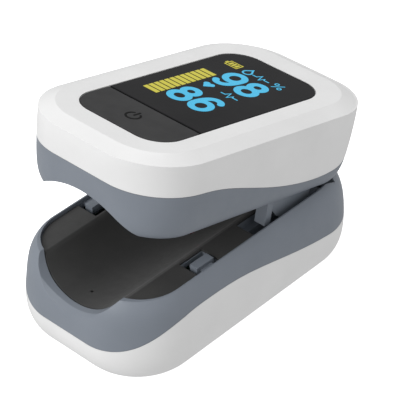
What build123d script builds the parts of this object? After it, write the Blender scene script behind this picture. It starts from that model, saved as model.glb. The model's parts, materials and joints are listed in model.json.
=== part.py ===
from build123d import *
import os
from math import radians, tan

os.makedirs("parts", exist_ok=True)

# ---------------------------------------------------------------------------
# Fingertip pulse oximeter. Millimetres, +Z up, origin on the flat underside,
# +Y towards the hinge end, the finger goes in from -Y. Both jaws are drawn
# closed; the upper jaw is then swung open about the hinge for the rest pose.
# ---------------------------------------------------------------------------

# Driving dimensions of the casing
HALF_WIDTH = 17.5
FRONT = -29.0
REAR = 29.0
FRONT_RADIUS = 12.0
REAR_RADIUS = 11.0
HEIGHT = 33.6
UPPER_FLOOR = 18.15
RIM_GAP = 0.75
BEVEL_HEIGHT = 1.2
BEVEL_WIDTH = 2.8
SEAM = 0.05
FIT = 0.1
BEYOND = 5.0  # how far a cutter reaches past what it cuts

LOWER_TOP = UPPER_FLOOR - RIM_GAP

# Hinge
HINGE_Y = 20.0
HINGE_Z = 13.0
OPEN_ANGLE = 15.2
HINGE_AXIS = Axis((0, HINGE_Y, HINGE_Z), (-1, 0, 0))
PIN_RADIUS = 1.0
PIN_CLEARANCE = 0.05
PIN_X = (9.3, 15.8)

# Finger channel: a trough in the lower jaw and a flatter arch in the upper one
TROUGH_RADIUS = 12.2
TROUGH_AXIS_Z = 24.4
TROUGH_END_Y = 6.0
ARCH_RADIUS = 18.5
ARCH_TOP_Z = 22.2
ARCH_AXIS_Z = ARCH_TOP_Z - ARCH_RADIUS
PAD_THICKNESS = 0.85
PAD_GAP = 0.22
SHELL_THICKNESS = 0.75
WINDOW_Y = 1.5

# Lower jaw decks and side slots
DECK_TOP = 16.3
DECK_THICKNESS = 1.0
FLANGE_TOP = 17.2
SLOT_INNER_X = 10.4
SLOT_OUTER_X = 15.2
MID_SLOT_Y = (-11.7, -6.2)
REAR_SLOT_Y = (2.6, 23.8)
POCKET_X = (11.7, 14.8)
POCKET_WALL = 0.5
POCKET_FLOOR = 9.9
SPRING_BAY_FRONT = 13.1
SILL_BOTTOM = 13.5
SLOT_FLOOR = 14.9
EAR_X = (12.6, 14.0)
EAR_RIB_X = (12.0, 14.4)
EAR_RIB_Y = (5.2, 6.7)
EAR_RIB_BOTTOM = 12.8

# Display panel in the upper jaw
PANEL_WIDTH = 22.0
PANEL_LENGTH = 43.2
PANEL_RADIUS = 5.4
PANEL_Y = -0.2
PANEL_DEPTH = 1.15
PANEL_LEDGE = 1.0
ROOF_THICKNESS = 1.8
DIVISION_Y = -11.6
DIVISION_GAP = 0.3
BUTTON_TRAVEL = 0.35
BUTTON_THICKNESS = 0.62

# Batteries and door
CELL_RADIUS = 5.15
CELL_LENGTH = 43.7
CELL_NUB_LENGTH = 0.8
CELL_NUB_RADIUS = 1.9
CELL_X = 6.4
CELL_Z = 6.35
CELL_FRONT = -22.6
FLOOR_TOP = 1.2
DOOR_HALF_WIDTH = 12.0
DOOR_THICKNESS = 1.0
DOOR_FRONT = -23.3
DOOR_CORNER = 6.0
DOOR_GAP = 0.15
DOOR_HOLE_TOP = FLOOR_TOP + 0.05  # opens the battery space from below
TONGUE_X = (11.0, 12.7)
TONGUE_Y = (-17.5, 21.0)
TONGUE_TOP = 1.65
TRACK_PLAY = 0.25
TRACK_TOP = 2.0
GRIP_LINES = 5
GRIP_START = 13.0
GRIP_PITCH = 1.6
GRIP_WIDTH = 0.7
GRIP_HALF_LENGTH = 5.0
GRIP_DEPTH = 0.3

# Outline levels: height, then how far the side, front and rear are pulled in
# from the nominal outline (a negative value stands proud of it)
LOWER_LEVELS = (
    (0.0, 4.0, 3.6, 3.4),
    (0.8, 1.9, 1.5, 1.3),
    (2.6, 0.5, -0.1, -0.2),
    (6.0, -0.3, -1.1, -1.1),
    (11.0, -0.3, -0.4, -1.2),
    (14.5, 0.2, 0.8, -0.6),
    (16.6, 1.2, 2.0, 0.5),
    (LOWER_TOP, 1.9, 2.7, 1.4),
)
LOWER_CAVITY_LEVELS = (
    (FLOOR_TOP, 3.8, 3.6, 3.6),
    (3.0, 2.0, 1.5, 1.5),
    (6.0, 1.3, 0.6, 0.6),
    (11.0, 1.3, 1.3, 0.5),
    (DECK_TOP - DECK_THICKNESS, 2.2, 3.0, 1.6),
)
MOUTH_LEVELS = (
    (9.0, 2.2, 1.7, 3.2),
    (13.0, 2.2, 2.3, 3.2),
    (16.0, 2.2, 3.3, 3.2),
    (18.5, 2.2, 4.6, 3.2),
)
UPPER_LEVELS = (
    (UPPER_FLOOR, 1.9, 3.3, 4.4),
    (19.3, 0.9, 2.7, 2.8),
    (21.5, 0.25, 2.1, 1.1),
    (25.5, 0.0, 1.2, -0.2),
    (30.0, 0.0, 0.2, -0.6),
    (HEIGHT - BEVEL_HEIGHT, 0.0, 0.0, -0.6),
)
UPPER_CAVITY_LEVELS = (
    (UPPER_FLOOR + 1.1, 2.6, 4.7, 5.0),
    (22.0, 1.7, 3.8, 3.2),
    (25.5, 1.5, 3.0, 1.9),
    (HEIGHT - ROOF_THICKNESS, 1.5, 1.6, 1.5),
)

# Wavy parting lines between the white covers and the grey frames, as (y, z)
UPPER_WAVE = ((-32, 26.8), (-20, 26.7), (-12.5, 26.2), (-5, 24.5), (3.5, 22.4), (10, 21.4),
              (15, 21.2), (21, 22.1), (32, 25.2))
LOWER_WAVE = ((-32, 7.4), (-28.8, 8.3), (-24, 10.6), (-19.5, 12.6), (-12, 13.3), (-5, 13.0),
              (5.7, 11.0), (13, 9.4), (20, 8.4), (32, 8.3))


def jaw_section(z, side, front, rear):
    """Rounded outline of a jaw at height z, pulled in from the full outline."""
    y_front, y_rear = FRONT + front, REAR - rear
    with BuildSketch(Plane.XY.offset(z)) as section:
        with Locations((0, (y_front + y_rear) / 2)):
            Rectangle(2 * (HALF_WIDTH - side), y_rear - y_front)
        fillet(section.vertices().group_by(Axis.Y)[0], FRONT_RADIUS - max(side, front))
        fillet(section.vertices().group_by(Axis.Y)[-1], REAR_RADIUS - max(side, rear))
    return section.sketch


def jaw_form(levels, shrink=0.0):
    """Smooth solid through a stack of outline levels."""
    sections = [jaw_section(z, side + shrink, front + shrink, rear + shrink)
                for z, side, front, rear in levels]
    with BuildPart() as form:
        loft(sections=sections)
    return form.part


def wave_block(points, lift, edge_z):
    """Everything between a wavy parting line and the level edge_z."""
    raised = [(y, z + lift) for y, z in points]
    with BuildPart() as slab:
        with BuildSketch(Plane.YZ):
            with BuildLine():
                Spline(*raised)
                Polyline(raised[-1], (raised[-1][0], edge_z), (raised[0][0], edge_z), raised[0])
            make_face()
        extrude(amount=HALF_WIDTH + BEYOND, both=True)
    return slab.part


def trough_cutter(radius):
    """Finger trough: a level cylinder that ends in half a ball."""
    with BuildPart() as cutter:
        with BuildSketch(Plane.XZ.offset(-TROUGH_END_Y)):
            with Locations((0, TROUGH_AXIS_Z)):
                Circle(radius)
        extrude(amount=TROUGH_END_Y - FRONT + BEYOND)
        with Locations((0, TROUGH_END_Y, TROUGH_AXIS_Z)):
            Sphere(radius)
    return cutter.part


def arch_cutter(radius, y_from, y_to):
    """Shallow arch over the finger, cut from below into the upper jaw."""
    with BuildPart() as cutter:
        with BuildSketch(Plane.XZ.offset(-y_to)):
            with Locations((0, ARCH_AXIS_Z)):
                Circle(radius)
        extrude(amount=y_to - y_from)
    return cutter.part


def block(x, y, z):
    """Axis-aligned block from (low, high) pairs."""
    with BuildPart() as box:
        with Locations(((x[0] + x[1]) / 2, (y[0] + y[1]) / 2, (z[0] + z[1]) / 2)):
            Box(x[1] - x[0], y[1] - y[0], z[1] - z[0])
    return box.part


def both_sides(x, y, z):
    """The same block on the right and on the left."""
    return [block(x, y, z), block((-x[1], -x[0]), y, z)]


def rod(x, y, z, radius, length, axis=Axis.Z):
    """Round bar that starts at a point and runs along an axis."""
    plane = Plane(origin=(x, y, z), z_dir=axis.direction)
    with BuildPart() as bar:
        with BuildSketch(plane):
            Circle(radius)
        extrude(amount=length)
    return bar.part


def save(piece, name):
    """Label a piece of the lower jaw and write it."""
    piece.label = name
    export_step(piece, f"parts/{name}.step")


def save_upper(piece, name):
    """Swing a piece of the upper jaw open, label it and write it."""
    save(piece.rotate(HINGE_AXIS, OPEN_ANGLE), name)


# ---------------------------------------------------------------------------
# Shared forms
# ---------------------------------------------------------------------------
lower_form = jaw_form(LOWER_LEVELS)
lower_cavity = jaw_form(LOWER_CAVITY_LEVELS)
mouth_form = jaw_form(MOUTH_LEVELS)
pad_form = jaw_form(MOUTH_LEVELS, shrink=PAD_GAP)
pad_back_radius = TROUGH_RADIUS + PAD_THICKNESS
shell_radius = pad_back_radius + FIT + SHELL_THICKNESS

# Screw places: lower screws go down from the deck, upper ones go up from below
LOWER_SCREWS = ((13.3, -18.0), (-13.3, -18.0), (11.6, 25.6), (-11.6, 25.6))
UPPER_SCREWS = ((13.8, -14.5), (-13.8, -14.5), (13.8, 0.5), (-13.8, 0.5))
BOTTOM_BOSS_Z = (FLOOR_TOP - 0.4, 8.1)
PILOT_Z = 3.0
FRAME_BOSS_Z = 8.4
BOSS_RADIUS = 1.6
SCREW_RADIUS = 0.7
HEAD_RADIUS = 1.2
HEAD_HEIGHT = 0.8
LOWER_SCREW_LENGTH = 11.0
UPPER_SCREW_LENGTH = 6.0
CROSS_LENGTH = 1.5
CROSS_WIDTH = 0.3

# ---------------------------------------------------------------------------
# Lower jaw
# ---------------------------------------------------------------------------

# White bottom cover: shell with bosses for the screws and a track for the door
door_back = REAR + 2
REAR_BOSS_WEB = ((10.4, 12.8), (25.6, door_back), (2.3, 8.0))  # ties the rear bosses to the wall
with BuildPart() as bottom_cover:
    add(lower_form)
    add(wave_block(LOWER_WAVE, -SEAM / 2, -5), mode=Mode.INTERSECT)
    add(lower_cavity, mode=Mode.SUBTRACT)
    for x, y in LOWER_SCREWS:
        add(rod(x, y, BOTTOM_BOSS_Z[0], BOSS_RADIUS, BOTTOM_BOSS_Z[1] - BOTTOM_BOSS_Z[0]))
    for web in both_sides(*REAR_BOSS_WEB):
        add(web)
    add(lower_form, mode=Mode.INTERSECT)
    for x, y in LOWER_SCREWS:
        add(rod(x, y, PILOT_Z, SCREW_RADIUS, BOTTOM_BOSS_Z[1]), mode=Mode.SUBTRACT)
    with BuildSketch(Plane.XY.offset(-BEYOND)) as door_hole:
        with Locations((0, (DOOR_FRONT - DOOR_GAP + door_back) / 2)):
            Rectangle(2 * (DOOR_HALF_WIDTH + DOOR_GAP), door_back - DOOR_FRONT + DOOR_GAP)
        fillet(door_hole.vertices().group_by(Axis.Y)[0], DOOR_CORNER)
    extrude(amount=BEYOND + DOOR_HOLE_TOP, mode=Mode.SUBTRACT)
    for track in both_sides((TONGUE_X[0] - TRACK_PLAY, TONGUE_X[1] + TRACK_PLAY),
                            (TONGUE_Y[0] - TRACK_PLAY, door_back),
                            (DOOR_THICKNESS - DOOR_GAP, TRACK_TOP)):
        add(track, mode=Mode.SUBTRACT)
save(bottom_cover.part, "bottom_cover")

# Battery door: slides out under the hinge end on two side tongues
with BuildPart() as battery_door:
    add(lower_form)
    with BuildSketch(Plane.XY.offset(-BEYOND)) as door_outline:
        with Locations((0, (DOOR_FRONT + door_back) / 2)):
            Rectangle(2 * DOOR_HALF_WIDTH, door_back - DOOR_FRONT)
        fillet(door_outline.vertices().group_by(Axis.Y)[0], DOOR_CORNER)
    extrude(amount=BEYOND + DOOR_THICKNESS, mode=Mode.INTERSECT)
    for tongue in both_sides(TONGUE_X, TONGUE_Y, (DOOR_THICKNESS - 0.02, TONGUE_TOP)):
        add(tongue)
    for line in range(GRIP_LINES):
        y = GRIP_START + GRIP_PITCH * line
        add(block((-GRIP_HALF_LENGTH, GRIP_HALF_LENGTH), (y, y + GRIP_WIDTH), (-1, GRIP_DEPTH)),
            mode=Mode.SUBTRACT)
save(battery_door.part, "battery_door")

# Spaces cut out of the lower frame: under the deck, for the pad, and a flared lip
LIP_Y = FRONT + 1.0
LIP_LENGTH = 1.6
LIP_FLARE = 0.9
HOUSING_HALF_WIDTH = 16.0
with BuildPart() as under_deck:
    add(lower_cavity)
    add(trough_cutter(shell_radius), mode=Mode.SUBTRACT)

with BuildPart() as pad_recess:
    add(trough_cutter(pad_back_radius + FIT))
    add(block((-HOUSING_HALF_WIDTH, HOUSING_HALF_WIDTH), (-40, 40), (DECK_TOP, 30)))
    add(mouth_form, mode=Mode.INTERSECT)

with BuildPart() as lip_flare:
    with BuildSketch(Plane.XZ.offset(-LIP_Y)):
        with Locations((0, TROUGH_AXIS_Z)):
            Circle(TROUGH_RADIUS)
    with BuildSketch(Plane.XZ.offset(LIP_LENGTH - LIP_Y)):
        with Locations((0, TROUGH_AXIS_Z)):
            Circle(TROUGH_RADIUS + LIP_FLARE)
    loft()

# Grey lower frame: rim, front lip, deck over the batteries and hinge pockets
RIBBON_BAY = ((-2.4, 2.4), (14.0, 23.5), (9.5, 20))
PAD_TAB = ((12.2, 14.0), (-10.9, -6.8), (DECK_TOP - 0.7, FLANGE_TOP))
PAD_TAB_ARM = ((12.7, 15.8), (-10.2, -7.4), (DECK_TOP - 0.7, DECK_TOP + 0.2))
BEARING_CHEEK = ((POCKET_X[1], 16.4), (16.0, 24.0), (9.4, DECK_TOP))
SENSOR_HALF = 2.4
with BuildPart() as lower_frame:
    add(lower_form)
    add(wave_block(LOWER_WAVE, SEAM / 2, 40), mode=Mode.INTERSECT)
    add(under_deck.part, mode=Mode.SUBTRACT)
    add(pad_recess.part, mode=Mode.SUBTRACT)
    add(trough_cutter(TROUGH_RADIUS), mode=Mode.SUBTRACT)
    add(lip_flare.part, mode=Mode.SUBTRACT)
    # lined pockets for the ears of the hinge, open towards the closing springs
    for liner in both_sides((POCKET_X[0] - POCKET_WALL, POCKET_X[1] + POCKET_WALL),
                            (REAR_SLOT_Y[0] - POCKET_WALL, REAR_SLOT_Y[1] + POCKET_WALL),
                            (POCKET_FLOOR - POCKET_WALL, DECK_TOP - 0.5)):
        add(liner)
    for pocket in both_sides(POCKET_X, REAR_SLOT_Y, (POCKET_FLOOR, 20)):
        add(pocket, mode=Mode.SUBTRACT)
    # sills that close the slots towards the batteries
    for sill in both_sides((SLOT_INNER_X - 0.3, POCKET_X[0]),
                           (REAR_SLOT_Y[0] - POCKET_WALL, SPRING_BAY_FRONT),
                           (SILL_BOTTOM, DECK_TOP - 0.5)):
        add(sill)
    for slot in both_sides((SLOT_INNER_X, SLOT_OUTER_X), REAR_SLOT_Y, (SLOT_FLOOR, 20)):
        add(slot, mode=Mode.SUBTRACT)
    for bay in both_sides((9.0, POCKET_X[1]), (SPRING_BAY_FRONT, REAR_SLOT_Y[1]),
                          (POCKET_FLOOR, 20)):
        add(bay, mode=Mode.SUBTRACT)
    add(block(*RIBBON_BAY), mode=Mode.SUBTRACT)
    # sensor opening in the floor of the trough
    add(block((-SENSOR_HALF, SENSOR_HALF), (WINDOW_Y - SENSOR_HALF, WINDOW_Y + SENSOR_HALF),
              (9.0, 13.0)), mode=Mode.SUBTRACT)
    # openings with the tabs that hold the pad, and bearing cheeks for the pins
    for opening in both_sides((SLOT_INNER_X + 0.2, SLOT_OUTER_X), MID_SLOT_Y, (14.0, 20)):
        add(opening, mode=Mode.SUBTRACT)
    for solid in (*both_sides(*PAD_TAB), *both_sides(*PAD_TAB_ARM), *both_sides(*BEARING_CHEEK)):
        add(solid)
    for x, y in LOWER_SCREWS:
        add(rod(x, y, FRAME_BOSS_Z, BOSS_RADIUS, DECK_TOP - FRAME_BOSS_Z))
    add(lower_form, mode=Mode.INTERSECT)
    for x, y in LOWER_SCREWS:
        add(rod(x, y, FRAME_BOSS_Z - 1, SCREW_RADIUS + FIT, 10), mode=Mode.SUBTRACT)
        add(rod(x, y, DECK_TOP - HEAD_HEIGHT - FIT, HEAD_RADIUS + FIT, BEYOND), mode=Mode.SUBTRACT)
    add(rod(-PIN_X[1], HINGE_Y, HINGE_Z, PIN_RADIUS, 2 * PIN_X[1], Axis.X), mode=Mode.SUBTRACT)
save(lower_frame.part, "lower_frame")

# Soft lower pad: trough lining with a flange on each side
FLANGE_REAR = 16.0
VENT_Y = -23.0
VENT_RADIUS = 0.3
PAD_OPENING_HALF = 2.2
CREASE_RADIUS = 0.6
with BuildPart() as lower_pad:
    add(trough_cutter(pad_back_radius))
    add(block((-HOUSING_HALF_WIDTH, HOUSING_HALF_WIDTH), (-40, FLANGE_REAR),
              (DECK_TOP + SEAM, FLANGE_TOP)))
    add(pad_form, mode=Mode.INTERSECT)
    add(block((-HOUSING_HALF_WIDTH, HOUSING_HALF_WIDTH), (-40, FLANGE_REAR), (5, FLANGE_TOP)),
        mode=Mode.INTERSECT)
    add(trough_cutter(TROUGH_RADIUS), mode=Mode.SUBTRACT)
    crease = lower_pad.edges().filter_by(Axis.Y).group_by(Axis.Z)[-1].sort_by(lambda e: abs(e.center().X))
    fillet(crease[:2], CREASE_RADIUS)
    for slot in both_sides((SLOT_INNER_X, 20), MID_SLOT_Y, (9.0, 20)):
        add(slot, mode=Mode.SUBTRACT)
    for slot in both_sides((SLOT_INNER_X, 20), REAR_SLOT_Y, (9.0, 20)):
        add(slot, mode=Mode.SUBTRACT)
    add(block((-PAD_OPENING_HALF, PAD_OPENING_HALF),
              (WINDOW_Y - PAD_OPENING_HALF, WINDOW_Y + PAD_OPENING_HALF), (9.0, 13.0)),
        mode=Mode.SUBTRACT)
    add(rod(0, VENT_Y, 9.0, VENT_RADIUS, BEYOND), mode=Mode.SUBTRACT)
save(lower_pad.part, "lower_pad")

# Light sensor under the trough
with BuildPart() as detector_window:
    add(block((-2.1, 2.1), (WINDOW_Y - 2.1, WINDOW_Y + 2.1), (10.75, 12.05)))
    fillet(detector_window.edges().filter_by(Axis.Z), 0.5)
save(detector_window.part, "detector_window")

with BuildPart() as photodiode:
    add(block((-1.5, 1.5), (WINDOW_Y - 1.6, WINDOW_Y + 1.6), (10.1, 10.7)))
save(photodiode.part, "photodiode")

with BuildPart() as detector_board:
    add(block((-2.1, 2.1), (WINDOW_Y - 4.0, WINDOW_Y + 4.5), (9.55, 10.05)))
save(detector_board.part, "detector_board")


def battery(x, direction):
    """Small round cell along Y with its contact button towards direction."""
    start = CELL_FRONT if direction > 0 else CELL_FRONT + CELL_LENGTH + CELL_NUB_LENGTH
    plane = Plane(origin=(x, start, CELL_Z), z_dir=(0, direction, 0))
    with BuildPart() as cell:
        with BuildSketch(plane):
            Circle(CELL_RADIUS)
        extrude(amount=CELL_LENGTH)
        chamfer(cell.edges().filter_by(GeomType.CIRCLE), 0.4)
        with BuildSketch(plane.offset(CELL_LENGTH)):
            Circle(CELL_NUB_RADIUS)
        extrude(amount=CELL_NUB_LENGTH)
    return cell.part


save(battery(CELL_X, 1), "battery_right")
save(battery(-CELL_X, -1), "battery_left")

# Contacts: one bridge plate at the front, two terminals at the hinge end
CONTACT_Z = (2.6, 10.0)
CONTACT_HALF_WIDTH = 3.2
BRIDGE_Y = (-25.3, -25.0)
NEGATIVE_Y = (24.9, 25.2)
POSITIVE_Y = (22.0, 22.3)
with BuildPart() as contact_bridge:
    add(block((-CELL_X - CONTACT_HALF_WIDTH, CELL_X + CONTACT_HALF_WIDTH), BRIDGE_Y, CONTACT_Z))
save(contact_bridge.part, "contact_bridge")


def contact_spring(x, y, direction):
    """Short coil spring that presses on the end of a cell."""
    wire, turns, pitch, coil_radius = 0.22, 3, 0.6, 2.6
    path = Helix(pitch, pitch * turns, coil_radius, center=(x, y, CELL_Z),
                 direction=(0, direction, 0))
    with BuildPart() as spring:
        with BuildSketch(Plane(origin=path @ 0, z_dir=path % 0)):
            Circle(wire)
        sweep(path=path, is_frenet=True)
    return spring.part


save(contact_spring(CELL_X, BRIDGE_Y[1] + 0.3, 1), "contact_spring_front")
save(contact_spring(-CELL_X, NEGATIVE_Y[0] - 0.3, -1), "contact_spring_rear")

with BuildPart() as terminal_negative:
    add(block((-CELL_X - CONTACT_HALF_WIDTH, -CELL_X + CONTACT_HALF_WIDTH), NEGATIVE_Y, (3.0, 9.0)))
save(terminal_negative.part, "terminal_negative")

with BuildPart() as terminal_positive:
    add(block((CELL_X - CONTACT_HALF_WIDTH, CELL_X + CONTACT_HALF_WIDTH), POSITIVE_Y, CONTACT_Z))
save(terminal_positive.part, "terminal_positive")


def screws(places, z, direction, length):
    """A set of pan-head screws with a cross slot in each head."""
    with BuildPart() as group:
        for x, y in places:
            plane = Plane(origin=(x, y, z), z_dir=(0, 0, direction))
            with BuildSketch(plane):
                Circle(HEAD_RADIUS)
            extrude(amount=HEAD_HEIGHT)
            with BuildSketch(plane.offset(HEAD_HEIGHT)):
                Circle(SCREW_RADIUS - 0.02)
            extrude(amount=length)
            with BuildSketch(plane):
                Rectangle(CROSS_LENGTH, CROSS_WIDTH)
                Rectangle(CROSS_WIDTH, CROSS_LENGTH)
            extrude(amount=HEAD_HEIGHT / 2, mode=Mode.SUBTRACT)
    return group.part


save(screws(LOWER_SCREWS, DECK_TOP - 0.05, -1, LOWER_SCREW_LENGTH), "lower_screws")

# Hinge pins: one on each side, so that the ribbon can pass between them
for side, name in ((1, "hinge_pin_right"), (-1, "hinge_pin_left")):
    start = PIN_X[0] if side > 0 else -PIN_X[1]
    save(rod(start, HINGE_Y, HINGE_Z, PIN_RADIUS, PIN_X[1] - PIN_X[0], Axis.X), name)

# Closing springs around the pins: coil, leg to the lower jaw, leg to the upper
SPRING_WIRE = 0.28
SPRING_RADIUS = 1.75
SPRING_TURNS = 3
SPRING_PITCH = 0.62
SPRING_X = 9.72
LEG_LENGTH = 6.5


def closing_spring(side):
    """Torsion spring; its legs are tangent to the coil, one for each jaw."""
    start_x = side * SPRING_X
    path = Helix(SPRING_PITCH, SPRING_PITCH * SPRING_TURNS, SPRING_RADIUS,
                 center=(start_x, HINGE_Y, HINGE_Z), direction=(side, 0, 0))
    with BuildPart() as spring:
        with BuildSketch(Plane(origin=path @ 0, z_dir=path % 0)):
            Circle(SPRING_WIRE)
        sweep(path=path, is_frenet=True)
    legs = []
    for y, z, height in ((HINGE_Y - LEG_LENGTH, HINGE_Z - SPRING_RADIUS, 0),
                         (HINGE_Y - LEG_LENGTH, HINGE_Z + SPRING_RADIUS, SPRING_TURNS)):
        x = start_x + side * SPRING_PITCH * height
        legs.append(rod(x, y, z, SPRING_WIRE, LEG_LENGTH, Axis.Y))
    return Compound(children=[spring.part, *legs])


save(closing_spring(1), "closing_spring_right")
save(closing_spring(-1), "closing_spring_left")

# Ribbon from the main board past the hinge line to the detector board
RIBBON_HALF_WIDTH = 1.8
RIBBON_FRONT = WINDOW_Y + 5.2
with BuildPart() as sensor_ribbon:
    with BuildSketch(Plane.YZ):
        with BuildLine():
            FilletPolyline((RIBBON_FRONT, 10.2), (15.6, 10.2), (HINGE_Y, HINGE_Z), (22.6, 19.5),
                           (24.1, 23.9), radius=1.5)
        trace(line_width=0.2)
    extrude(amount=RIBBON_HALF_WIDTH, both=True)
save(sensor_ribbon.part, "sensor_ribbon")

# ---------------------------------------------------------------------------
# Upper jaw, drawn closed
# ---------------------------------------------------------------------------
bevel_z = HEIGHT - BEVEL_HEIGHT
bevel_sections = [jaw_section(bevel_z, 0, 0, 0),
                  jaw_section(HEIGHT, BEVEL_WIDTH, BEVEL_WIDTH, BEVEL_WIDTH)]
with BuildPart() as upper_form:
    add(jaw_form(UPPER_LEVELS))
    loft(sections=bevel_sections, ruled=True)
    # relief behind the hinge, so that the jaw can swing open over the lower one
    relief_start = HINGE_Y - 1.0
    relief_rise = (REAR + 3 - relief_start) * tan(radians(OPEN_ANGLE + 1.2))
    with BuildSketch(Plane.YZ):
        with BuildLine():
            Polyline((relief_start, UPPER_FLOOR), (REAR + 3, UPPER_FLOOR + relief_rise),
                     (REAR + 3, UPPER_FLOOR - 2), (relief_start, UPPER_FLOOR - 2), close=True)
        make_face()
    extrude(amount=HALF_WIDTH + 2, both=True, mode=Mode.SUBTRACT)
upper_cavity = jaw_form(UPPER_CAVITY_LEVELS)


def panel_outline(plane, inset, y_from, y_to):
    """Rounded panel outline, kept between two lines across the jaw."""
    with BuildSketch(plane) as outline:
        with Locations((0, PANEL_Y)):
            RectangleRounded(PANEL_WIDTH - 2 * inset, PANEL_LENGTH - 2 * inset,
                             PANEL_RADIUS - inset)
        with Locations((0, (y_from + y_to) / 2)):
            Rectangle(2 * PANEL_WIDTH, y_to - y_from, mode=Mode.INTERSECT)
    return outline.sketch


panel_front = PANEL_Y - PANEL_LENGTH / 2
panel_rear = PANEL_Y + PANEL_LENGTH / 2
ledge_z = HEIGHT - PANEL_DEPTH
BOSS_JOINT_Z = 22.6
RECESS_PLAY = 0.12
roof_z = HEIGHT - ROOF_THICKNESS

# White top cover: bevelled shell with the panel recess and screw bosses
with BuildPart() as top_cover:
    add(upper_form.part)
    add(wave_block(UPPER_WAVE, SEAM / 2, 40), mode=Mode.INTERSECT)
    add(upper_cavity, mode=Mode.SUBTRACT)
    for x, y in UPPER_SCREWS:
        add(rod(x, y, BOSS_JOINT_Z, BOSS_RADIUS, roof_z - BOSS_JOINT_Z + 0.3))
        add(rod(x, y, BOSS_JOINT_Z - 1, SCREW_RADIUS, UPPER_SCREW_LENGTH), mode=Mode.SUBTRACT)
    extrude(panel_outline(Plane.XY.offset(ledge_z), -RECESS_PLAY, panel_front - 1, panel_rear + 1),
            amount=BEYOND, mode=Mode.SUBTRACT)
    extrude(panel_outline(Plane.XY.offset(roof_z - 1), PANEL_LEDGE, panel_front, panel_rear),
            amount=BEYOND, mode=Mode.SUBTRACT)
save_upper(top_cover.part, "top_cover")

# Display lens and the power button share the recess
PANEL_EDGE = 0.12
with BuildPart() as display_lens:
    extrude(panel_outline(Plane.XY.offset(ledge_z), 0, DIVISION_Y + DIVISION_GAP / 2, panel_rear),
            amount=PANEL_DEPTH)
    chamfer(display_lens.faces().sort_by(Axis.Z)[-1].edges(), PANEL_EDGE)
save_upper(display_lens.part, "display_lens")

button_top = HEIGHT - 0.02
button_bottom = button_top - BUTTON_THICKNESS
BOARD_Z = (28.6, 29.4)
SWITCH_Y = -16.5
SWITCH_HALF = 2.25
SWITCH_BODY = 0.8
SWITCH_NUB = 0.38
switch_top = BOARD_Z[1] + SWITCH_BODY + SWITCH_NUB
stem_bottom = switch_top + BUTTON_TRAVEL + 0.07
with BuildPart() as power_button:
    extrude(panel_outline(Plane.XY.offset(button_bottom), 0, panel_front,
                          DIVISION_Y - DIVISION_GAP / 2),
            amount=BUTTON_THICKNESS)
    chamfer(power_button.faces().sort_by(Axis.Z)[-1].edges(), PANEL_EDGE)
    with BuildSketch(Plane.XY.offset(stem_bottom)):
        with Locations((0, SWITCH_Y)):
            RectangleRounded(12.0, 5.0, 1.2)
    extrude(amount=button_bottom - stem_bottom)
save_upper(power_button.part, "power_button")

# Display module with its gasket, on the main board
OLED_Y = 4.8
with BuildPart() as display_gasket:
    with BuildSketch(Plane.XY.offset(roof_z - 0.2)):
        with Locations((0, OLED_Y)):
            RectangleRounded(19.4, 31.0, 4.4)
            RectangleRounded(17.4, 29.0, 3.4, mode=Mode.SUBTRACT)
    extrude(amount=ledge_z - roof_z + 0.15)
save_upper(display_gasket.part, "display_gasket")

with BuildPart() as oled_module:
    add(block((-9.9, 9.9), (OLED_Y - 15.8, OLED_Y + 15.8), (30.0, roof_z - 0.25)))
    add(block((-7.0, 7.0), (OLED_Y + 15.8, OLED_Y + 17.6), (30.0, 30.6)))
save_upper(oled_module.part, "oled_module")

with BuildPart() as main_board:
    with BuildSketch(Plane.XY.offset(BOARD_Z[0])):
        RectangleRounded(22.4, 46.0, 3.0)
    extrude(amount=BOARD_Z[1] - BOARD_Z[0])
save_upper(main_board.part, "main_board")

with BuildPart() as button_switch:
    add(block((-SWITCH_HALF, SWITCH_HALF), (SWITCH_Y - SWITCH_HALF, SWITCH_Y + SWITCH_HALF),
              (BOARD_Z[1], BOARD_Z[1] + SWITCH_BODY)))
    add(rod(0, SWITCH_Y, BOARD_Z[1] + SWITCH_BODY, 1.1, SWITCH_NUB))
save_upper(button_switch.part, "button_switch")

with BuildPart() as processor_chip:
    add(block((-3.5, 3.5), (2.0, 9.0), (BOARD_Z[0] - 0.9, BOARD_Z[0])))
save_upper(processor_chip.part, "processor_chip")

with BuildPart() as ribbon_connector:
    add(block((-3.2, 3.2), (19.0, 22.2), (BOARD_Z[0] - 1.3, BOARD_Z[0])))
save_upper(ribbon_connector.part, "ribbon_connector")

# Grey upper frame: band under the cover, arch over the finger, hinge ears
arch_shell_radius = ARCH_RADIUS + PAD_THICKNESS + FIT + SHELL_THICKNESS
UPPER_PAD_HALF_WIDTH = 11.3
UPPER_PAD_Y = (-23.9, 13.5)
ARCH_REAR = 14.0
with BuildPart() as over_deck:
    add(upper_cavity)
    add(arch_cutter(arch_shell_radius, FRONT, ARCH_REAR + 1), mode=Mode.SUBTRACT)

with BuildPart() as upper_pad_recess:
    add(arch_cutter(ARCH_RADIUS + PAD_THICKNESS + FIT, *UPPER_PAD_Y))
    add(block((-UPPER_PAD_HALF_WIDTH - FIT, UPPER_PAD_HALF_WIDTH + FIT), (FRONT, REAR), (10, 30)),
        mode=Mode.INTERSECT)

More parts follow.
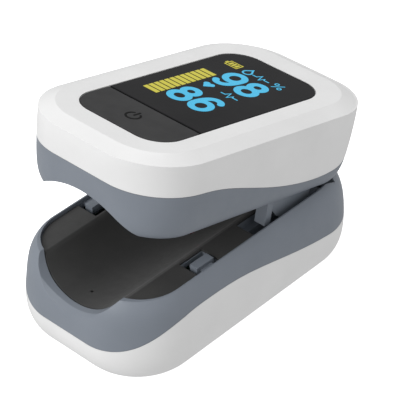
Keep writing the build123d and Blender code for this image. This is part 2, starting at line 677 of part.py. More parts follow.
with BuildPart() as upper_frame:
    add(upper_form.part)
    add(wave_block(UPPER_WAVE, -SEAM / 2, 0), mode=Mode.INTERSECT)
    add(over_deck.part, mode=Mode.SUBTRACT)
    add(arch_cutter(ARCH_RADIUS, FRONT - 1, ARCH_REAR), mode=Mode.SUBTRACT)
    add(upper_pad_recess.part, mode=Mode.SUBTRACT)
    for x, y in UPPER_SCREWS:
        add(rod(x, y, UPPER_FLOOR, BOSS_RADIUS, BOSS_JOINT_Z - SEAM - UPPER_FLOOR))
    with BuildSketch(Plane.YZ.offset(EAR_X[0])):
        with BuildLine():
            Polyline((6.6, 19.2), (6.6, 15.9), (8.4, 13.9), (11.5, 12.4), (18.9, 10.35))
            ThreePointArc((18.9, 10.35), (22.3, 11.3), (22.8, 13.6))
            ThreePointArc((22.8, 13.6), (20.6, 15.8), (17.2, 15.4))
            Polyline((17.2, 15.4), (17.2, 19.2), (6.6, 19.2))
        make_face()
    extrude(amount=EAR_X[1] - EAR_X[0])
    add(block(EAR_RIB_X, EAR_RIB_Y, (EAR_RIB_BOTTOM, UPPER_FLOOR + 1)))
    mirror(about=Plane.YZ)
    for x, y in UPPER_SCREWS:
        add(rod(x, y, 17.0, SCREW_RADIUS + FIT, 8), mode=Mode.SUBTRACT)
        add(rod(x, y, 17.0, HEAD_RADIUS + FIT, UPPER_FLOOR - 17.0 + HEAD_HEIGHT + FIT),
            mode=Mode.SUBTRACT)
    add(rod(-PIN_X[1], HINGE_Y, HINGE_Z, PIN_RADIUS + PIN_CLEARANCE, 2 * PIN_X[1], Axis.X),
        mode=Mode.SUBTRACT)
    add(block((-2.6, 2.6), (WINDOW_Y - 2.2, WINDOW_Y + 2.2), (20, 25)), mode=Mode.SUBTRACT)
    add(block((-2.4, 2.4), (19.2, 25.8), (17, 23.4)), mode=Mode.SUBTRACT)
save_upper(upper_frame.part, "upper_frame")

# Soft upper pad lining the arch
with BuildPart() as upper_pad:
    add(arch_cutter(ARCH_RADIUS + PAD_THICKNESS, UPPER_PAD_Y[0] + FIT, UPPER_PAD_Y[1] - FIT))
    add(arch_cutter(ARCH_RADIUS, FRONT, REAR), mode=Mode.SUBTRACT)
    add(block((-UPPER_PAD_HALF_WIDTH, UPPER_PAD_HALF_WIDTH), (FRONT, REAR),
              (UPPER_FLOOR + FIT, 30)), mode=Mode.INTERSECT)
    add(block((-2.4, 2.4), (WINDOW_Y - 2.0, WINDOW_Y + 2.0), (20, 25)), mode=Mode.SUBTRACT)
save_upper(upper_pad.part, "upper_pad")

# Light source over the arch
with BuildPart() as emitter_window:
    add(block((-2.3, 2.3), (WINDOW_Y - 1.9, WINDOW_Y + 1.9), (22.3, 23.3)))
    fillet(emitter_window.edges().filter_by(Axis.Z), 0.5)
save_upper(emitter_window.part, "emitter_window")

with BuildPart() as emitter_leds:
    add(block((-1.6, 1.6), (WINDOW_Y - 1.0, WINDOW_Y + 1.0), (23.35, 24.05)))
save_upper(emitter_leds.part, "emitter_leds")

with BuildPart() as emitter_board:
    add(block((-4.5, 4.5), (WINDOW_Y - 3.5, WINDOW_Y + 4.0), (24.1, 24.7)))
save_upper(emitter_board.part, "emitter_board")

save_upper(screws(UPPER_SCREWS, UPPER_FLOOR + FIT, 1, UPPER_SCREW_LENGTH), "upper_screws")
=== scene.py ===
import json
from math import cos, radians, sin

import bmesh
import bpy
from mathutils import Matrix, Vector


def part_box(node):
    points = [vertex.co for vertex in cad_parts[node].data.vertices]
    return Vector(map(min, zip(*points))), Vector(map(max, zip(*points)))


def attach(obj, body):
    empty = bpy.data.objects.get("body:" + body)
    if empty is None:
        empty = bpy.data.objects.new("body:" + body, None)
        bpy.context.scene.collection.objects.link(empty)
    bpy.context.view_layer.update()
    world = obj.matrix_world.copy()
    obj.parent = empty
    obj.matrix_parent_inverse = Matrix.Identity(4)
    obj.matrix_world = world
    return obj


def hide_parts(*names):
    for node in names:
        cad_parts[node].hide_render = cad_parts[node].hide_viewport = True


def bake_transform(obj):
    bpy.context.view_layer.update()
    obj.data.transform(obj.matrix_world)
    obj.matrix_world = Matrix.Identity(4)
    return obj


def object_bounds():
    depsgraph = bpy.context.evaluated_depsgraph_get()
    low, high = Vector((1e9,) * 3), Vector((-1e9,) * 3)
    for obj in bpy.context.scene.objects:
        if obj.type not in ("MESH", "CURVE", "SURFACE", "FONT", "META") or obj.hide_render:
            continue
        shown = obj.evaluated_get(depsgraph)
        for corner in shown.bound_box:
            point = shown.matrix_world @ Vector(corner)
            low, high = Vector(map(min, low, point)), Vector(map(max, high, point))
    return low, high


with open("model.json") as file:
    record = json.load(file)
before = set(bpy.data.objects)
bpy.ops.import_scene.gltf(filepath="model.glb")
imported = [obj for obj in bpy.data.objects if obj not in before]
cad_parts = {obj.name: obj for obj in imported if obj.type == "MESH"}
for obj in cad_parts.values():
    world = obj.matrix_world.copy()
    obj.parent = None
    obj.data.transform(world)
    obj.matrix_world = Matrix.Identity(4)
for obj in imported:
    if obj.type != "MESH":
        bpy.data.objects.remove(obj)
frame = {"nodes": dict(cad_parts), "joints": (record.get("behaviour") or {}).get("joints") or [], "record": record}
cad_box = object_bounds()

# ---------------------------------------------------------------------------
# Fingertip pulse oximeter: looks, lit figures, light and camera.
# Lengths are in metres; MM turns a size in millimetres into metres.
# ---------------------------------------------------------------------------
MM = 0.001
NODES = frame["nodes"]
HINGE = next(joint for joint in frame["joints"] if joint["name"] == "jaw_hinge")
HINGE_POINT = Vector(HINGE["pos_m"])
NOISE_LOW, NOISE_HIGH = 0.3, 0.7    # where most values of a noise lie

# The panel is drawn with the jaws closed and then swung open with the upper jaw
SWING = (Matrix.Translation(HINGE_POINT)
         @ Matrix.Rotation(radians(-HINGE["range_deg"][0]), 4, Vector(HINGE["axis"]))
         @ Matrix.Translation(-HINGE_POINT))


def closed_box(node):
    """Lowest and highest corner of an upper-jaw node in the closed position."""
    back = SWING.inverted()
    points = [back @ vertex.co for vertex in NODES[node].data.vertices]
    low = Vector(min(point[i] for point in points) for i in range(3))
    high = Vector(max(point[i] for point in points) for i in range(3))
    return low, high


# ---------------------------------------------------------------------------
# Node materials
# ---------------------------------------------------------------------------
class Finish:
    """A principled material with object coordinates at hand."""

    def __init__(self, name, roughness=0.4, metallic=0.0, **sockets):
        self.material = bpy.data.materials.new(name)
        self.material.use_nodes = True
        self.nodes = self.material.node_tree.nodes
        self.links = self.material.node_tree.links
        self.shader = self.nodes["Principled BSDF"]
        self.shader.inputs["Roughness"].default_value = roughness
        self.shader.inputs["Metallic"].default_value = metallic
        for socket, value in sockets.items():
            self.shader.inputs[socket.replace("_", " ")].default_value = value
        self.coordinates = self.nodes.new("ShaderNodeTexCoord").outputs["Object"]
        self.normal = None

    def node(self, kind, **inputs):
        made = self.nodes.new(kind)
        for socket, value in inputs.items():
            name = socket.replace("_", " ")
            if isinstance(value, bpy.types.NodeSocket):
                self.links.new(value, made.inputs[name])
            else:
                made.inputs[name].default_value = value
        return made

    def stretched(self, x, y, z):
        """Object coordinates, scaled along each axis."""
        return self.node("ShaderNodeMapping", Vector=self.coordinates, Scale=(x, y, z)).outputs[0]

    def noise(self, size, detail=3.0, vector=None):
        """Noise with features of the given size in metres."""
        source = vector or self.coordinates
        return self.node("ShaderNodeTexNoise", Vector=source, Scale=1 / size,
                         Detail=detail).outputs["Fac"]

    def ramp(self, factor, stops, constant=False):
        """Colour ramp from (position, colour) stops."""
        made = self.node("ShaderNodeValToRGB", Fac=factor)
        made.color_ramp.interpolation = "CONSTANT" if constant else "LINEAR"
        elements = made.color_ramp.elements
        while len(elements) < len(stops):
            elements.new(0.5)
        for element, (position, colour) in zip(elements, stops):
            element.position = position
            element.color = (*colour, 1)
        return made.outputs["Color"]

    def colour(self, socket_output, target="Base Color"):
        self.links.new(socket_output, self.shader.inputs[target])

    def rough(self, factor, low, high):
        """Roughness that wanders between low and high with a factor."""
        spread = self.node("ShaderNodeMapRange", Value=factor)
        spread.inputs["From Min"].default_value = NOISE_LOW
        spread.inputs["From Max"].default_value = NOISE_HIGH
        spread.inputs["To Min"].default_value = low
        spread.inputs["To Max"].default_value = high
        self.links.new(spread.outputs["Result"], self.shader.inputs["Roughness"])

    def soft_edges(self, radius):
        """Rounds sharp edges in the shading."""
        bevel = self.nodes.new("ShaderNodeBevel")
        bevel.samples = 4
        bevel.inputs["Radius"].default_value = radius
        self.normal = bevel.outputs["Normal"]
        self.links.new(self.normal, self.shader.inputs["Normal"])

    def relief(self, height, depth, strength=1.0):
        """Raises and lowers the surface by depth, on top of any earlier relief."""
        bump = self.node("ShaderNodeBump", Height=height, Distance=depth, Strength=strength)
        if self.normal:
            self.links.new(self.normal, bump.inputs["Normal"])
        self.normal = bump.outputs["Normal"]
        self.links.new(self.normal, self.shader.inputs["Normal"])


def moulded_plastic(name, dark, light, roughness, grain, depth, edge=0.12 * MM):
    """Moulded plastic: faint clouding, a fine grain and softened edges."""
    finish = Finish(name)
    finish.colour(finish.ramp(finish.noise(9 * MM), [(NOISE_LOW, dark), (NOISE_HIGH, light)]))
    finish.rough(finish.noise(2.5 * MM, 4.0), *roughness)
    finish.soft_edges(edge)
    finish.relief(finish.noise(grain, 2.0), depth)
    return finish


def white_plastic():
    finish = moulded_plastic("white_plastic", (0.78, 0.78, 0.78), (0.82, 0.82, 0.82),
                             (0.30, 0.38), 0.9 * MM, 0.004 * MM)
    finish.shader.inputs["Coat Weight"].default_value = 0.15
    finish.shader.inputs["Coat Roughness"].default_value = 0.25
    return finish.material


def grey_plastic():
    return moulded_plastic("grey_plastic", (0.186, 0.210, 0.246), (0.204, 0.228, 0.266),
                           (0.42, 0.52), 0.28 * MM, 0.006 * MM).material


def smoked_panel():
    """Smoked acrylic: nearly black, polished, with the faintest smears."""
    finish = moulded_plastic("smoked_panel", (0.012, 0.012, 0.013), (0.016, 0.016, 0.017),
                             (0.20, 0.27), 1.4 * MM, 0.001 * MM, 0.08 * MM)
    finish.shader.inputs["Specular IOR Level"].default_value = 0.04
    return finish.material


def button_plastic():
    finish = moulded_plastic("button_plastic", (0.024, 0.024, 0.025), (0.029, 0.029, 0.030),
                             (0.34, 0.42), 0.22 * MM, 0.004 * MM, 0.08 * MM)
    finish.shader.inputs["Specular IOR Level"].default_value = 0.13
    return finish.material


def icon_ink():
    """Glossy black print with a slightly uneven film."""
    finish = moulded_plastic("icon_ink", (0.002, 0.002, 0.002), (0.004, 0.004, 0.004),
                             (0.35, 0.45), 0.3 * MM, 0.001 * MM, 0.02 * MM)
    finish.shader.inputs["Specular IOR Level"].default_value = 0.04
    return finish.material


def dark_silicone():
    """Soft matt silicone with a fine mottle and a few specks of dust."""
    finish = Finish("dark_silicone", Sheen_Weight=0.12, Sheen_Roughness=0.5)
    finish.shader.inputs["Specular IOR Level"].default_value = 0.4
    clouds = finish.ramp(finish.noise(5 * MM),
                         [(NOISE_LOW, (0.036, 0.036, 0.036)), (NOISE_HIGH, (0.044, 0.044, 0.043))])
    specks = finish.node("ShaderNodeTexVoronoi", Vector=finish.coordinates, Scale=1 / (1.6 * MM))
    dust = finish.ramp(specks.outputs["Distance"],
                       [(0.0, (0.12, 0.12, 0.115)), (0.035, (0.0, 0.0, 0.0))])
    mix = finish.nodes.new("ShaderNodeMix")
    mix.data_type = "RGBA"
    mix.blend_type = "ADD"
    mix.inputs["Factor"].default_value = 0.35
    finish.links.new(clouds, mix.inputs["A"])
    finish.links.new(dust, mix.inputs["B"])
    finish.colour(mix.outputs["Result"])
    finish.rough(finish.noise(1.2 * MM, 4.0), 0.46, 0.58)
    finish.soft_edges(0.15 * MM)
    finish.relief(finish.noise(0.18 * MM), 0.006 * MM)
    finish.relief(finish.noise(4 * MM), 0.03 * MM)
    return finish.material


PIXEL_PITCH = 0.2 * MM


def lit_pixels(name, colour, strength):
    """Glowing display area with the dark grid between its pixels."""
    finish = Finish(name, roughness=0.3)
    finish.shader.inputs["Base Color"].default_value = (0.01, 0.01, 0.012, 1)
    grid = finish.node("ShaderNodeTexBrick", Vector=finish.coordinates, Scale=1 / PIXEL_PITCH,
                       Mortar_Size=0.05, Brick_Width=1.0, Row_Height=1.0)
    grid.offset = 0.0
    grid.inputs["Color1"].default_value = (*colour, 1)
    grid.inputs["Color2"].default_value = (*[0.93 * part for part in colour], 1)
    grid.inputs["Mortar"].default_value = (*[0.7 * part for part in colour], 1)
    finish.colour(grid.outputs["Color"], "Emission Color")
    finish.shader.inputs["Emission Strength"].default_value = strength
    return finish.material


def steel(name, colour, roughness, along, size=0.5 * MM):
    """Metal with drawing marks; along holds the three scale factors of the marks."""
    finish = Finish(name, metallic=1.0)
    marks = finish.noise(size, 4.0, finish.stretched(*along))
    shade = tuple(0.82 * part for part in colour)
    finish.colour(finish.ramp(marks, [(NOISE_LOW, shade), (NOISE_HIGH, colour)]))
    finish.rough(marks, roughness, roughness + 0.14)
    finish.relief(marks, 0.003 * MM)
    return finish.material


def circuit_board():
    """Green solder mask over angular copper traces."""
    finish = Finish("circuit_board", roughness=0.35)
    traces = finish.nodes.new("ShaderNodeTexVoronoi")
    traces.feature = "DISTANCE_TO_EDGE"
    traces.inputs["Scale"].default_value = 1 / (2.2 * MM)
    finish.links.new(finish.coordinates, traces.inputs["Vector"])
    mask = finish.ramp(traces.outputs["Distance"],
                       [(0.0, (0.05, 0.25, 0.10)), (0.05, (0.05, 0.25, 0.10)),
                        (0.07, (0.012, 0.10, 0.04))])
    finish.colour(mask)
    finish.rough(finish.noise(1 * MM), 0.28, 0.42)
    finish.relief(traces.outputs["Distance"], 0.02 * MM)
    return finish.material


def battery_wrap():
    """Printed sleeve in two colours, with bare metal at both ends."""
    finish = Finish("battery_wrap")
    place = finish.node("ShaderNodeSeparateXYZ", Vector=finish.coordinates).outputs["Y"]
    low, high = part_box("battery_right")
    span = finish.node("ShaderNodeMapRange", Value=place)
    span.inputs["From Min"].default_value = low.y
    span.inputs["From Max"].default_value = high.y
    metal, green, black = (0.6, 0.6, 0.58), (0.03, 0.20, 0.10), (0.015, 0.016, 0.018)
    bands = [(0.0, metal), (0.02, black), (0.30, green), (0.78, black), (0.80, metal),
             (0.815, black), (0.965, metal)]
    finish.colour(finish.ramp(span.outputs["Result"], bands, constant=True))
    finish.rough(finish.noise(1.5 * MM), 0.22, 0.36)
    finish.shader.inputs["Coat Weight"].default_value = 0.4
    finish.relief(finish.noise(2.0 * MM), 0.01 * MM)
    return finish.material


CONDUCTOR_PITCH = 0.2 * MM


def ribbon_film():
    """Amber polyimide film with fine conductors along its length."""
    finish = Finish("ribbon_film")
    place = finish.node("ShaderNodeSeparateXYZ", Vector=finish.coordinates).outputs["X"]
    pitch = finish.node("ShaderNodeMath")
    pitch.operation = "PINGPONG"
    pitch.inputs[1].default_value = CONDUCTOR_PITCH
    finish.links.new(place, pitch.inputs[0])
    unit = finish.node("ShaderNodeMapRange", Value=pitch.outputs[0])
    unit.inputs["From Max"].default_value = CONDUCTOR_PITCH
    lines = finish.ramp(unit.outputs["Result"],
                        [(0.0, (0.30, 0.12, 0.02)), (0.48, (0.34, 0.15, 0.03)),
                         (0.52, (0.62, 0.33, 0.08))])
    finish.colour(lines)
    finish.rough(finish.noise(1.2 * MM), 0.25, 0.4)
    finish.relief(unit.outputs["Result"], 0.01 * MM)
    return finish.material


def clear_window():
    """Clear resin window, tinted red, with a faint moulding haze."""
    finish = Finish("clear_window", Transmission_Weight=0.75, IOR=1.49)
    finish.colour(finish.ramp(finish.noise(2 * MM),
                              [(NOISE_LOW, (0.42, 0.06, 0.06)), (NOISE_HIGH, (0.50, 0.09, 0.08))]))
    finish.rough(finish.noise(0.8 * MM), 0.06, 0.16)
    finish.relief(finish.noise(1.5 * MM), 0.004 * MM)
    return finish.material


def black_foam():
    """Closed-cell foam."""
    finish = Finish("black_foam")
    cells = finish.node("ShaderNodeTexVoronoi", Vector=finish.coordinates,
                        Scale=1 / (0.35 * MM)).outputs["Distance"]
    finish.colour(finish.ramp(cells, [(0.0, (0.03, 0.03, 0.03)), (0.8, (0.012, 0.012, 0.012))]))
    finish.rough(cells, 0.75, 0.9)
    finish.relief(cells, 0.05 * MM)
    return finish.material


def resin(name, dark, light):
    """Cast resin of small electronic parts."""
    return moulded_plastic(name, dark, light, (0.35, 0.5), 0.12 * MM, 0.004 * MM,
                           0.05 * MM).material


FINISHES = {
    "white_plastic": white_plastic(),
    "grey_plastic": grey_plastic(),
    "dark_silicone": dark_silicone(),
    "smoked_panel": smoked_panel(),
    "button_plastic": button_plastic(),
    "black_foam": black_foam(),
    "display_glass": resin("display_glass", (0.006, 0.006, 0.008), (0.010, 0.010, 0.013)),
    "circuit_board": circuit_board(),
    "switch_metal": steel("switch_metal", (0.62, 0.61, 0.58), 0.28, (1, 6, 1)),
    "chip_black": resin("chip_black", (0.014, 0.014, 0.015), (0.022, 0.022, 0.023)),
    "clear_window": clear_window(),
    "led_body": resin("led_body", (0.62, 0.60, 0.55), (0.70, 0.68, 0.63)),
    "screw_steel": steel("screw_steel", (0.55, 0.55, 0.54), 0.30, (1, 1, 4)),
    "pin_steel": steel("pin_steel", (0.66, 0.66, 0.66), 0.12, (0.3, 4, 4)),
    "spring_steel": steel("spring_steel", (0.50, 0.50, 0.49), 0.24, (4, 0.5, 0.5)),
    "contact_metal": steel("contact_metal", (0.64, 0.62, 0.57), 0.26, (4, 1, 0.4)),
    "battery_wrap": battery_wrap(),
    "ribbon_film": ribbon_film(),
}
BLUE = lit_pixels("lit_blue", (0.023, 0.48, 0.78), 1.0)
YELLOW = lit_pixels("lit_yellow", (0.57, 0.51, 0.01), 1.0)
INK = icon_ink()

for part in frame["record"]["subparts"]:
    mesh = NODES[part["node"]].data
    mesh.materials.clear()
    mesh.materials.append(FINISHES[part["material_slot"]])

# ---------------------------------------------------------------------------
# Lit figures on the panel and the print on the power key
# ---------------------------------------------------------------------------
FILM = 0.02 * MM      # thickness of a lit or printed area
LAYER = 0.002 * MM    # step that keeps crossing strokes apart
ARC_STEPS = 40
END_STEPS = 10
SHARPEST = 0.5        # keeps the points of sharp corners short
SAME_POINT = 0.001
FULL_ROUND = 360 - 360 / ARC_STEPS  # ends one step short of the start


def arc(centre, radii, start, end):
    """Points along part of an ellipse, angles in degrees."""
    steps = range(ARC_STEPS + 1)
    angles = [radians(start + (end - start) * step / ARC_STEPS) for step in steps]
    return [Vector((centre[0] + radii[0] * cos(a), centre[1] + radii[1] * sin(a))) for a in angles]


def curve(a, b, c, d):
    """Points along a cubic curve."""
    points = []
    for step in range(ARC_STEPS + 1):
        t = step / ARC_STEPS
        u = 1 - t
        points.append(u**3 * Vector(a) + 3 * u * u * t * Vector(b) + 3 * u * t * t * Vector(c)
                      + t**3 * Vector(d))
    return points


def plate(bm, outline, level):
    """Thin plate over a closed outline, in panel millimetres."""
    low = [bm.verts.new((point[0] * MM, point[1] * MM, level)) for point in outline]
    high = [bm.verts.new((point[0] * MM, point[1] * MM, level + FILM)) for point in outline]
    bm.faces.new(high)
    bm.faces.new(low[::-1])
    for i in range(len(outline)):
        j = (i + 1) % len(outline)
        bm.faces.new((low[i], low[j], high[j], high[i]))


def ring_of(bm, left, right, level):
    """Four corners of a ribbon's cross-section."""
    return [bm.verts.new((point.x * MM, point.y * MM, height))
            for point, height in ((left, level), (right, level), (right, level + FILM),
                                  (left, level + FILM))]


def round_end(bm, ring, middle, side, outwards, level):
    """Half disc that closes the end of a ribbon."""
    rim = []
    for step in range(1, END_STEPS):
        angle = radians(180 * step / END_STEPS)
        point = middle - side * cos(angle) + outwards * sin(angle)
        rim.append([bm.verts.new((point.x * MM, point.y * MM, height))
                    for height in (level, level + FILM)])
    rim = [[ring[1], ring[2]], *rim, [ring[0], ring[3]]]
    bm.faces.new([low for low, high in rim])
    bm.faces.new([high for low, high in rim])
    for (low, high), (next_low, next_high) in zip(rim, rim[1:]):
        bm.faces.new((low, next_low, next_high, high))


def stroke(bm, points, width, level):
    """Ribbon of even width: a loop if it ends where it starts, else with round ends."""
    closed = (points[0] - points[-1]).length < SAME_POINT
    if closed:
        points = points[:-1]
    count = len(points)
    rings, sides = [], []
    for i, point in enumerate(points):
        before = points[i - 1] if closed or i else point
        after = points[(i + 1) % count] if closed or i < count - 1 else point
        into, out = (point - before).normalized(), (after - point).normalized()
        along = (into + out).normalized()
        reach = max(along.dot(into), along.dot(out), SHARPEST)
        side = Vector((-along.y, along.x)) * width / 2 / reach
        rings.append(ring_of(bm, point + side, point - side, level))
        sides.append(side)
    for i in range(count if closed else count - 1):
        ring, following = rings[i], rings[(i + 1) % count]
        for j in range(4):
            k = (j + 1) % 4
            bm.faces.new((ring[j], ring[k], following[k], following[j]))
    if not closed:
        start = Vector((-sides[0].y, sides[0].x))
        end = Vector((sides[-1].y, -sides[-1].x))
        round_end(bm, rings[0], points[0], sides[0], start, level)
        round_end(bm, rings[-1], points[-1], sides[-1], end, level)


def figure(name, draw, place, surface, body, material):
    """Piece drawn flat around its own centre and laid on a surface of the upper jaw."""
    bm = bmesh.new()
    draw(bm)
    bmesh.ops.translate(bm, verts=bm.verts, vec=(place[0] * MM, place[1] * MM, surface))
    bmesh.ops.transform(bm, matrix=SWING, verts=bm.verts)
    bmesh.ops.recalc_face_normals(bm, faces=bm.faces)
    mesh = bpy.data.meshes.new(name)
    bm.to_mesh(mesh)
    bm.free()
    mesh.materials.append(material)
    piece = bpy.data.objects.new(name, mesh)
    bpy.context.scene.collection.objects.link(piece)
    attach(piece, body)
    return piece


# Line widths in panel millimetres
DIGIT_STROKE = 1.3
CELL_STROKE = 0.22
DROP_STROKE = 0.34
PERCENT_STROKE = 0.24
PULSE_STROKE = 0.26
POWER_STROKE = 0.42


def draw_eight(bm):
    stroke(bm, arc((0, 1.62), (1.42, 1.33), 90, 450), DIGIT_STROKE, 0)
    stroke(bm, arc((0, -1.35), (1.72, 1.6), 90, 450), DIGIT_STROKE, LAYER)


def draw_six(bm, turn=1):
    """A six, or a nine when turned half round."""
    bowl = arc((0, -1.15), (1.72, 1.8), 90, 450)
    neck = curve((-1.72, -1.1), (-1.75, 1.6), (-0.9, 2.95), (0.3, 2.95))
    hook = curve((0.3, 2.95), (0.9, 2.95), (1.3, 2.7), (1.6, 2.15))
    stroke(bm, [turn * point for point in bowl], DIGIT_STROKE, 0)
    stroke(bm, [turn * point for point in neck + hook[1:]], DIGIT_STROKE, 2 * LAYER)


def draw_nine(bm):
    draw_six(bm, turn=-1)


def draw_bar(width, height):
    def draw(bm):
        plate(bm, [(-width / 2, -height / 2), (width / 2, -height / 2), (width / 2, height / 2),
                   (-width / 2, height / 2)], 0)
    return draw


def draw_cell(bm):
    """Outlined cell with three charge bars, the nub towards -X."""
    corners = [(-1.25, -0.95), (1.55, -0.95), (1.55, 0.95), (-1.25, 0.95), (-1.25, -0.95)]
    stroke(bm, [Vector(corner) for corner in corners], CELL_STROKE, 0)
    plate(bm, [(-1.75, -0.4), (-1.4, -0.4), (-1.4, 0.4), (-1.75, 0.4)], LAYER)
    for x in (-0.55, 0.2, 0.95):
        plate(bm, [(x - 0.26, -0.6), (x + 0.26, -0.6), (x + 0.26, 0.6), (x - 0.26, 0.6)], LAYER)


def draw_drop(bm):
    """Outline of a drop, tip upwards."""
    bowl = arc((0, -0.35), (0.85, 0.85), -210, 30)
    right, left = [curve((0.74 * side, 0.07), (0.5 * side, 0.5), (0.12 * side, 0.85), (0, 1.3))
                   for side in (1, -1)]
    stroke(bm, bowl + right[1:] + left[-2:0:-1] + bowl[:1], DROP_STROKE, 0)


def draw_heart(bm):
    """Filled heart from two rounds and a point."""
    for side in (-1, 1):
        plate(bm, arc((0.55 * side, 0.35), (0.62, 0.62), 0, FULL_ROUND), LAYER if side > 0 else 0)
    plate(bm, [(-1.05, 0.05), (0, -1.25), (1.05, 0.05), (0, 0.6)], 2 * LAYER)


def draw_percent(bm):
    for side in (-1, 1):
        stroke(bm, arc((-0.75 * side, 0.6 * side), (0.36, 0.4), 0, 360), PERCENT_STROKE, 0)
    stroke(bm, [Vector((-0.7, -1.0)), Vector((0.7, 1.0))], PERCENT_STROKE, LAYER)


def draw_pulse(bm):
    """Short pulse trace."""
    points = [(-1.9, -0.2), (-1.0, -0.2), (-0.55, 0.9), (0.1, -1.0), (0.55, 0.25), (0.8, -0.2),
              (1.9, -0.2)]
    stroke(bm, [Vector(point) for point in points], PULSE_STROKE, 0)


def draw_power(bm):
    """Ring with a gap, and a bar that stands in it."""
    stroke(bm, arc((0, 0), (1.3, 1.3), 125, 415), POWER_STROKE, 0)
    stroke(bm, [Vector((0, 0.25)), Vector((0, 1.65))], POWER_STROKE, LAYER)


lens_low, lens_high = closed_box("display_lens")
key_low, key_high = closed_box("power_button")
panel_middle = Vector((0, (key_low.y + lens_high.y) / 2)) / MM
lens_top = lens_high.z
key_top = key_high.z


def on_panel(x, y):
    """Place on the panel, from its middle, in millimetres."""
    return panel_middle + Vector((x, y))


def lit(name, draw, place, material=BLUE):
    figure(name, draw, place, lens_top, "upper_jaw", material)


LEFT_X, RIGHT_X = -1.95, 3.05
UPPER_Y, LOWER_Y = 10.0, -1.9
lit("figure_upper_tens", draw_nine, on_panel(LEFT_X, UPPER_Y))
lit("figure_upper_units", draw_eight, on_panel(RIGHT_X, UPPER_Y))
lit("figure_lower_tens", draw_eight, on_panel(LEFT_X, LOWER_Y))
lit("figure_lower_units", draw_six, on_panel(RIGHT_X, LOWER_Y))
lit("sign_drop", draw_drop, on_panel(-2.6, 15.5))
lit("sign_drop_trace", draw_pulse, on_panel(0.6, 15.4))
lit("sign_percent", draw_percent, on_panel(4.6, 15.4))
lit("sign_heart", draw_heart, on_panel(-2.5, 4.6))
lit("sign_heart_trace", draw_pulse, on_panel(2.9, 4.5))
lit("sign_cell", draw_cell, on_panel(-6.4, 15.5), YELLOW)

BAR_COUNT = 12
BAR_X = -6.4
BAR_WIDTH = 3.3
BAR_GAP = 0.3
BAR_RANGE = (-6.3, 9.4)
bar_pitch = (BAR_RANGE[1] - BAR_RANGE[0]) / BAR_COUNT
for bar in range(BAR_COUNT):
    lit(f"level_bar_{bar + 1:02d}", draw_bar(BAR_WIDTH, bar_pitch - BAR_GAP),
        on_panel(BAR_X, BAR_RANGE[0] + (bar + 0.5) * bar_pitch), YELLOW)

figure("power_sign", draw_power, on_panel(-0.1, -16.4), key_top, "power_button", INK)

# ---------------------------------------------------------------------------
# Copies of the springs and the sensor ribbon, in place of their CAD nodes
# ---------------------------------------------------------------------------


def flexing(node):
    """Copy of a CAD node's mesh, from the lower to the upper jaw, shown in place of the node."""
    piece = bpy.data.objects.new(node + "_flexing", NODES[node].data.copy())
    bpy.context.scene.collection.objects.link(piece)
    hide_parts(node)
    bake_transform(piece)
    return piece


for side, name in ((1, "closing_spring_right"), (-1, "closing_spring_left")):
    flexing(name)

flexing("sensor_ribbon")

# ---------------------------------------------------------------------------
# Soft pad of the lower jaw
# ---------------------------------------------------------------------------
FLANGE_DEPTH = 0.9 * MM     # thickness of the pad's flanges
FLANGE_SETTLE = 0.45 * MM   # how far their upper face lies lower than in the CAD solid


def settled_pad():
    """The lower pad with its flanges pressed down, so that the rim stands proud of them."""
    mesh = NODES["lower_pad"].data.copy()
    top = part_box("lower_pad")[1].z
    for vertex in mesh.vertices:
        rise = min(max(1 - (top - vertex.co.z) / FLANGE_DEPTH, 0), 1)
        vertex.co.z -= FLANGE_SETTLE * rise * rise * (3 - 2 * rise)
    piece = bpy.data.objects.new("lower_pad_settled", mesh)
    bpy.context.scene.collection.objects.link(piece)
    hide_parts("lower_pad")
    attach(piece, "lower_jaw")


settled_pad()

# ---------------------------------------------------------------------------
# Floor, light and camera
# ---------------------------------------------------------------------------


def floor(size, level):
    """Plain pale floor, far wider than the view."""
    mesh = bpy.data.meshes.new("floor")
    half = size / 2
    mesh.from_pydata([(-half, -half, level), (half, -half, level), (half, half, level),
                      (-half, half, level)], [], [(0, 1, 2, 3)])
    finish = Finish("floor_white", roughness=0.9)
    finish.colour(finish.ramp(finish.noise(0.3),
                              [(NOISE_LOW, (0.9, 0.9, 0.9)), (NOISE_HIGH, (0.92, 0.92, 0.92))]))
    finish.shader.inputs["Specular IOR Level"].default_value = 0.0
    finish.shader.inputs["Emission Color"].default_value = (1, 1, 1, 1)
    finish.shader.inputs["Emission Strength"].default_value = 0.75
    mesh.materials.append(finish.material)
    made = bpy.data.objects.new("floor", mesh)
    made.visible_diffuse = False
    made.visible_glossy = False
    bpy.context.scene.collection.objects.link(made)


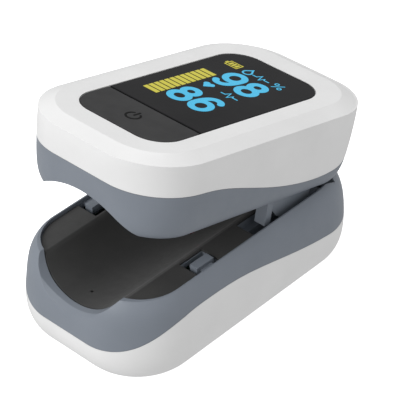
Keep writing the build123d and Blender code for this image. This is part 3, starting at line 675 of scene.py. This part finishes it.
def soft_light(name, place, aim, size, power):
    """Square studio light that faces a point."""
    lamp = bpy.data.lights.new(name, "AREA")
    lamp.size = size
    lamp.energy = power
    made = bpy.data.objects.new(name, lamp)
    made.location = place
    made.rotation_euler = (Vector(place) - Vector(aim)).to_track_quat("Z", "Y").to_euler()
    bpy.context.scene.collection.objects.link(made)


def studio_world(strength):
    world = bpy.data.worlds.new("studio")
    world.use_nodes = True
    background = world.node_tree.nodes["Background"]
    background.inputs["Color"].default_value = (1, 1, 1, 1)
    background.inputs["Strength"].default_value = strength
    bpy.context.scene.world = world


AIM = Vector((2.66, 1.7, 19.0)) * MM
CAMERA_AZIMUTH = radians(46.2)
CAMERA_ELEVATION = radians(37.66)
CAMERA_ROLL = radians(-3.6)
CAMERA_DISTANCE = 346.5 * MM
LENS = 175.5
FLOOR_SIZE = 4.0
FLOOR_CLEARANCE = 0.05 * MM     # keeps the floor off the resting face
KEY_PLACE, KEY_SIZE, KEY_POWER = (-0.18, -0.66, 0.45), 0.5, 3.25
TOP_PLACE, TOP_SIZE, TOP_POWER = (0.0, 0.1, 0.8), 0.7, 1.6
WORLD_STRENGTH = 0.635


def camera():
    """Camera that looks at AIM from the front right and above."""
    back = Vector((sin(CAMERA_AZIMUTH) * cos(CAMERA_ELEVATION),
                   -cos(CAMERA_AZIMUTH) * cos(CAMERA_ELEVATION), sin(CAMERA_ELEVATION)))
    data = bpy.data.cameras.new("camera")
    data.lens = LENS
    data.sensor_width = 36.0
    data.clip_start = 0.01
    made = bpy.data.objects.new("camera", data)
    made.rotation_mode = "QUATERNION"
    turned = back.to_track_quat("Z", "Y").to_matrix() @ Matrix.Rotation(CAMERA_ROLL, 3, "Z")
    made.rotation_quaternion = turned.to_quaternion()
    made.location = AIM + CAMERA_DISTANCE * back
    bpy.context.scene.collection.objects.link(made)
    bpy.context.scene.camera = made


floor(FLOOR_SIZE, cad_box[0][2] - FLOOR_CLEARANCE)
bpy.context.scene.view_settings.view_transform = "Standard"
soft_light("key", KEY_PLACE, AIM, KEY_SIZE, KEY_POWER)
soft_light("top", TOP_PLACE, AIM, TOP_SIZE, TOP_POWER)
studio_world(WORLD_STRENGTH)
camera()
